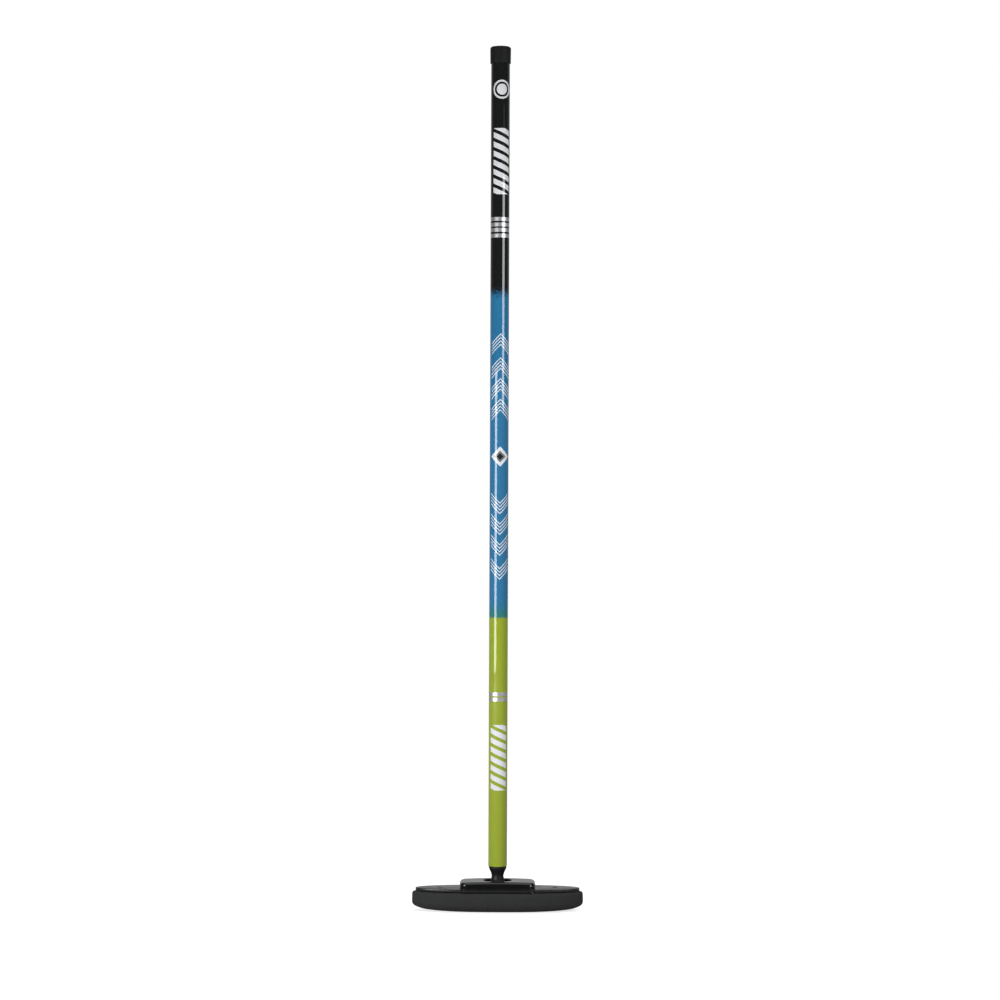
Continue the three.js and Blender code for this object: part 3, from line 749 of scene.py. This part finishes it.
# The shell's section: up its outside, over the edge to the mouth, down into it, and back inside to the foot.
shell_rings = [foot_ring(up, inset) for up, inset in FOOT_SECTION]
shell_rings += [at_height(shell_outline(height, 0), height) for height in SIDE_HEIGHTS]
for degrees in range(0, 91, 10):
    turn = math.radians(degrees)
    height = SKIRT_TOP + (HOUSING_TOP - SKIRT_TOP) * math.sin(turn)
    shell_rings.append(at_height(shell_outline(height, EDGE_WIDTH * (1 - math.cos(turn))), height))
for degrees in range(0, 91, 15):
    turn = math.radians(degrees)
    back = MOUTH_ROLL * (1 - math.sin(turn))
    height = HOUSING_TOP - MOUTH_ROLL * (1 - math.cos(turn))
    shell_rings.append(at_height(ellipse(MOUTH[0] + back, MOUTH[1] + back), height))
roof = HOUSING_TOP - SHELL_WALL
for wall, height in ((0, MOUTH_FOOT), (MOUTH_WALL, MOUTH_FOOT), (MOUTH_WALL, roof)):
    shell_rings.append(at_height(ellipse(MOUTH[0] + wall, MOUTH[1] + wall), height))
shell_rings.append(at_height(shell_outline(SKIRT_TOP, SHELL_WALL + ROOF_INSET), roof))
shell_rings.append(at_height(shell_outline(SKIRT_TOP, SHELL_WALL), SKIRT_TOP))
inner_foot = []
for x, y, height in foot_ring(0, SHELL_WALL):
    inner_y = math.copysign(max(abs(y), SKIRT_CLEAR), y) if height == PLATE_FOOT else y
    inner_foot.append((x, inner_y, height))
shell_rings.append([(x, y, max(END_FOOT, height + LEAST_RISE)) for x, y, height in inner_foot])
shell_rings.append(inner_foot)
# The top falls away a little towards both ends.
housing_shape = bmesh.new()
for level in skinned(housing_shape, shell_rings, closed=True):
    for vertex in level:
        above = max(0, vertex.co.z / MM - SKIRT_TOP) / (HOUSING_TOP - SKIRT_TOP)
        vertex.co.z -= CROWN * MM * above * (2 * vertex.co.x / (HOUSING_LENGTH * MM)) ** 2
bmesh.ops.recalc_face_normals(housing_shape, faces=housing_shape.faces)
boss_section = [(HOUSING_SCREW_HOLE, END_FOOT), (BOSS_RADIUS, END_FOOT),
                (BOSS_RADIUS, BOSS_TOP), (HOUSING_SCREW_HOLE, BOSS_TOP)]
for boss_place in boss_places:
    turned(housing_shape, boss_section, steps=32, place=boss_place)

# Polished black plastic: mirror-like, with thin bright lines along its edges. Only rubbing a millimetre
# wide and dull patches about 22 mm across disturb the gloss.
gloss_black, gloss = new_material("polished_black_housing")
gloss_place = add(gloss, "TexCoord").node.outputs["Object"]
dull = add(gloss, "TexNoise", None, gloss_place, Scale=45.0, Detail=4.0)
rubbed = add(gloss, "TexNoise", None, gloss_place, Scale=900.0, Detail=2.0)
add(gloss, "OutputMaterial", None, add(
    gloss, "BsdfPrincipled", None, Base_Color=over(gloss, linear(GLOSS_BLACK), linear(GLOSS_DULL), dull),
    Roughness=add(gloss, "MapRange", None, dull, 0.35, 0.75, 0.1, 0.2),
    Normal=add(gloss, "Bump", None, Strength=0.1, Distance=0.01 * MM, Height=rubbed)))
new_piece("pivot_cover", housing_shape, "head", "gloss_black", ["pivot_housing"], gloss_black)

# ---------------------------------------------------------------- screws
# Countersunk cross-recessed screws in blackened steel. Two hold the pad from above, in tee nuts under the
# board, and four come up from under the plate into the housing's bosses.
BLACKED_STEEL = "2B2C2E"
HEAD_RADIUS = 3.5
HEAD_EDGE = 0.15
HEAD_RIM = 0.3
SHANK_RADIUS = 1.9
SCREW_LENGTH = 11
SCREW_TIP = 1
THREAD_PITCH = 0.8
THREAD_DEPTH = 0.28
THREAD_LEAD = 0.4
THREAD_CLEAR = 1.5
CROSS_REACH = 4.2
CROSS_WIDTH = 0.6
CROSS_DEPTH = 1

# Oiled black steel: dark, with a dull metallic glint on the rim of the head and its cross.
black_steel = worked_metal("blackened_screw_steel", BLACKED_STEEL, rough=0.38, mark=0.4)


def screw_side():
    """A pad screw's outline, as radii and depths below its head's flat top."""
    cone = HEAD_RADIUS - SHANK_RADIUS
    side = [(0, 0), (HEAD_RADIUS - HEAD_EDGE, 0), (HEAD_RADIUS, HEAD_EDGE), (HEAD_RADIUS, HEAD_RIM),
            (SHANK_RADIUS, cone + HEAD_RIM)]
    for turn in range(int((SCREW_LENGTH - cone - THREAD_CLEAR) / THREAD_PITCH)):
        crest = cone + THREAD_LEAD + turn * THREAD_PITCH
        side += [(SHANK_RADIUS, crest), (SHANK_RADIUS - THREAD_DEPTH, crest + THREAD_PITCH / 2)]
    return side + [(SHANK_RADIUS, SCREW_LENGTH - SCREW_TIP), (SHANK_RADIUS / 2, SCREW_LENGTH),
                   (0, SCREW_LENGTH)]


for label, side in (("left", -1), ("right", 1)):
    screw_shape = bmesh.new()
    turned(screw_shape, [(radius, PLATE_TOP - depth) for radius, depth in screw_side()], steps=40,
           closed=False, place=(side * PAD_SCREW_REACH, 0))
    screw = new_piece(f"pad_cross_screw_{label}", screw_shape, "head", "black_steel",
                      [f"pad_screw_{label}"], black_steel)
    head_place = Matrix.Translation((side * PAD_SCREW_REACH * MM, 0, PLATE_TOP * MM))
    blade_size = Matrix.Diagonal((CROSS_REACH * MM, CROSS_WIDTH * MM, 2 * CROSS_DEPTH * MM, 1))
    for turn in (0, math.pi / 2):
        blade = bmesh.new()
        bmesh.ops.create_cube(blade, size=1, matrix=head_place @ Matrix.Rotation(turn, 4, "Z") @ blade_size)
        carved(screw, blade)
    repainted(f"pad_nut_{label}", bright_steel)
for number in range(1, 5):
    repainted(f"housing_screw_{number}", black_steel)

# ---------------------------------------------------------------- brush pad
# A foam block on a stiff board, inside a sewn cover of coarse black nylon. The cover is drawn round the
# board's edge and glued down, so it is drum tight below and gathers in small puckers near its top edge.
PAD_LENGTH = 232.4
PAD_WIDTH = 65
PAD_TOP = 26.7
PAD_ROCKER = 2.9
FLAT_REACH = 35
FABRIC = 1.0
PAD_EDGE = 4
PAD_ROUND = 16
END_SWEEP = 28
SIDE_SWEEP = 17
SWEEP_POWER = 1.6
HEM_RINGS = (13, 11, 9, 7, 5.5)  # how far in from the edge
SIDE_RINGS = (21, 19, 17)  # heights
SOLE_REACH = (40, 13)  # from the lower round in to the sole's middle, at the ends and the sides
PAD_POINTS = 240
WEAVE = 0.62  # the pitch of the threads
WEAVE_RELIEF = 0.12
FUZZ_RELIEF = 0.15
PAD_BLACK = "191A1A"
PAD_SHADOW = "101111"
PAD_FUZZ = "252626"
PAD_WORN = "1C1D1D"
PAD_SHEEN = "6A6C6C"
BOARD_GREY = "3A3B3C"
FOAM_CREAM = "D9D4C4"
PUCKER = 0.55  # the most that a point of the cover moves
CLOTH_FRAMES = 24
CLOTH_MASS = 0.05
CLOTH_STIFFNESS = 12
CLOTH_SHEAR = 6
CLOTH_BENDING = 0.02
CLOTH_SPARE = 0.035  # how much larger the cover is cut than the foam, as a share
FOAM_PRESSURE = 2.0
HELD_RINGS = 3  # rings of points glued down at the hem
HELD_SOLE = 0.35  # how far up the lower round the cover is held, as a share


def rocker(x):
    """How far the pad's underside lifts, at a place along the head."""
    past = max(0, abs(x) - FLAT_REACH)
    return PAD_ROCKER * (past / (PAD_LENGTH / 2 - FLAT_REACH)) ** 2


def pad_ring(height, end_pull, side_pull):
    """The pad's outline, drawn in at its ends and sides, at a height. Its foot follows the rocker."""
    outline = oval(PAD_LENGTH - 2 * end_pull, PAD_WIDTH - 2 * side_pull, count=PAD_POINTS)
    lift = 1 - height / PAD_TOP
    return [(x, y, height + lift * rocker(x)) for x, y in outline]


# The cover's section: from the hem out over the top edge, down the side, and round to the sole's middle.
pad_rings = [pad_ring(PAD_TOP, pull, pull) for pull in HEM_RINGS]
for degrees in range(90, -1, -15):
    turn = math.radians(degrees)
    pull = PAD_EDGE * (1 - math.cos(turn))
    pad_rings.append(pad_ring(PAD_TOP - PAD_EDGE * (1 - math.sin(turn)), pull, pull))
pad_rings += [pad_ring(height, 0, 0) for height in SIDE_RINGS]
for degrees in range(0, 91, 6):
    turn = math.radians(degrees)
    sweep = (1 - math.cos(turn)) ** SWEEP_POWER
    pad_rings.append(pad_ring(PAD_ROUND * (1 - math.sin(turn)), END_SWEEP * sweep, SIDE_SWEEP * sweep))
for share in (0.25, 0.5, 0.75, 1):
    pad_rings.append(pad_ring(0, END_SWEEP + SOLE_REACH[0] * share, SIDE_SWEEP + SOLE_REACH[1] * share))
pad_shape = bmesh.new()
sole = skinned(pad_shape, pad_rings)[-1]
for at in range(PAD_POINTS // 2 - 1):
    pad_shape.faces.new((sole[at], sole[at + 1], sole[PAD_POINTS - 2 - at], sole[PAD_POINTS - 1 - at]))
bmesh.ops.recalc_face_normals(pad_shape, faces=pad_shape.faces)
# The cover is still an open sheet, so it is turned over if its sole doesn't face down.
if sum(face.normal.z for face in pad_shape.faces if face.calc_center_median().z < 2 * MM) > 0:
    bmesh.ops.reverse_faces(pad_shape, faces=pad_shape.faces)

# The weave's two directions in millimetres: round the pad and up it on its sides, and flat elsewhere.
weave_place = pad_shape.loops.layers.float_vector.new("weave")
around_pad = [0.0]
widest = oval(PAD_LENGTH, PAD_WIDTH, count=PAD_POINTS)
for at in range(PAD_POINTS):
    around_pad.append(around_pad[-1] + math.dist(widest[at], widest[(at + 1) % PAD_POINTS]))
for face in pad_shape.faces:
    middle = face.calc_center_median()
    on_side = abs(face.normal.z) < 0.75
    for loop in face.loops:
        x, y, z = loop.vert.co / MM
        at = loop.vert.index % PAD_POINTS
        loop[weave_place] = (x, y, 0)
        if on_side:
            wrapped = at == 0 and middle.y < 0
            loop[weave_place] = (around_pad[PAD_POINTS if wrapped else at], z, 0)

# Coarse black nylon: matt and slightly hairy, with a faint pale bloom at a low angle. A plain weave shows
# as dark gaps between threads, and use has greyed it in patches about 38 mm across.
pad_fabric, cloth = new_material("coarse_black_nylon_cloth")
woven = add(cloth, "Attribute", {"attribute_name": "weave"}).node.outputs["Vector"]
threads = add(cloth, "SeparateXYZ", None, woven).node
warp = add(cloth, "Math", "SINE", add(cloth, "Math", "MULTIPLY", threads.outputs["X"], math.pi / WEAVE))
weft = add(cloth, "Math", "SINE", add(cloth, "Math", "MULTIPLY", threads.outputs["Y"], math.pi / WEAVE))
knit = add(cloth, "Math", "ABSOLUTE", add(cloth, "Math", "MULTIPLY", warp, weft))
cloth_place = add(cloth, "TexCoord").node.outputs["Object"]
fuzz = add(cloth, "TexNoise", None, cloth_place, Scale=420.0, Detail=3.0)
worn = add(cloth, "TexNoise", None, cloth_place, Scale=26.0, Detail=3.0)
yarn = over(cloth, linear(PAD_SHADOW), linear(PAD_BLACK), knit)
yarn = over(cloth, yarn, linear(PAD_FUZZ), add(cloth, "MapRange", None, fuzz, 0.5, 0.75, 0.0, 0.5))
yarn = over(cloth, yarn, linear(PAD_WORN), worn)
relief = add(cloth, "Bump", None, Strength=0.6, Distance=WEAVE_RELIEF * MM, Height=knit)
relief = add(cloth, "Bump", None, Strength=0.3, Distance=FUZZ_RELIEF * MM, Height=fuzz, Normal=relief)
add(cloth, "OutputMaterial", None, add(
    cloth, "BsdfPrincipled", None, Base_Color=yarn, Roughness=0.8, Normal=relief,
    Sheen_Weight=0.12, Sheen_Roughness=0.5, Sheen_Tint=linear(PAD_SHEEN)))

pad_cover = new_piece("pad_cloth_cover", pad_shape, "head", "pad_fabric", ["pad_cover"], pad_fabric)


def gathered(piece, frames, most):
    """Simulates the cover as cloth held at its hem and under its sole, a little too big for the foam that
    presses it out, then moves each point by what it gave, to a set most."""
    held = piece.vertex_groups.new(name="held")
    rest = [vertex.co.copy() for vertex in piece.data.vertices]
    for at, place in enumerate(rest):
        at_hem = at < PAD_POINTS * HELD_RINGS
        at_sole = place.z < HELD_SOLE * PAD_ROUND * MM
        held.add([at], 1.0 if at_hem or at_sole else 0.0, "REPLACE")
    cloth_sim = piece.modifiers.new("gathering", "CLOTH")
    settings = cloth_sim.settings
    settings.vertex_group_mass = "held"
    settings.quality = 6
    settings.mass = CLOTH_MASS
    settings.tension_stiffness = CLOTH_STIFFNESS
    settings.compression_stiffness = CLOTH_STIFFNESS
    settings.shear_stiffness = CLOTH_SHEAR
    settings.bending_stiffness = CLOTH_BENDING
    settings.shrink_min = -CLOTH_SPARE
    settings.use_pressure = True
    settings.uniform_pressure_force = FOAM_PRESSURE
    settings.effector_weights.gravity = 0
    cloth_sim.collision_settings.use_collision = False
    cloth_sim.point_cache.frame_end = frames
    for frame_number in range(1, frames + 1):
        scene.frame_set(frame_number)
    graph = bpy.context.evaluated_depsgraph_get()
    given = [vertex.co.copy() for vertex in piece.evaluated_get(graph).data.vertices]
    piece.modifiers.remove(cloth_sim)
    scene.frame_set(1)
    for vertex, before, after in zip(piece.data.vertices, rest, given):
        move = after - before
        vertex.co = before + move * (most * MM / (move.length + most * MM))


gathered(pad_cover, CLOTH_FRAMES, PUCKER)
fabric = pad_cover.modifiers.new("fabric", "SOLIDIFY")
fabric.thickness = FABRIC * MM
fabric.offset = -1

# Under the cover: a dull grey plastic board, and cream foam that its cut cells make chalky and pitted.
board_plastic = moulded("grey_board_plastic", BOARD_GREY, rough=0.55, grain=0.6, depth=0.03)
foam_cells = moulded("cream_pad_foam", FOAM_CREAM, rough=0.9, grain=0.7, depth=0.35)
repainted("pad_backing_board", board_plastic)
repainted("pad_foam", foam_cells)
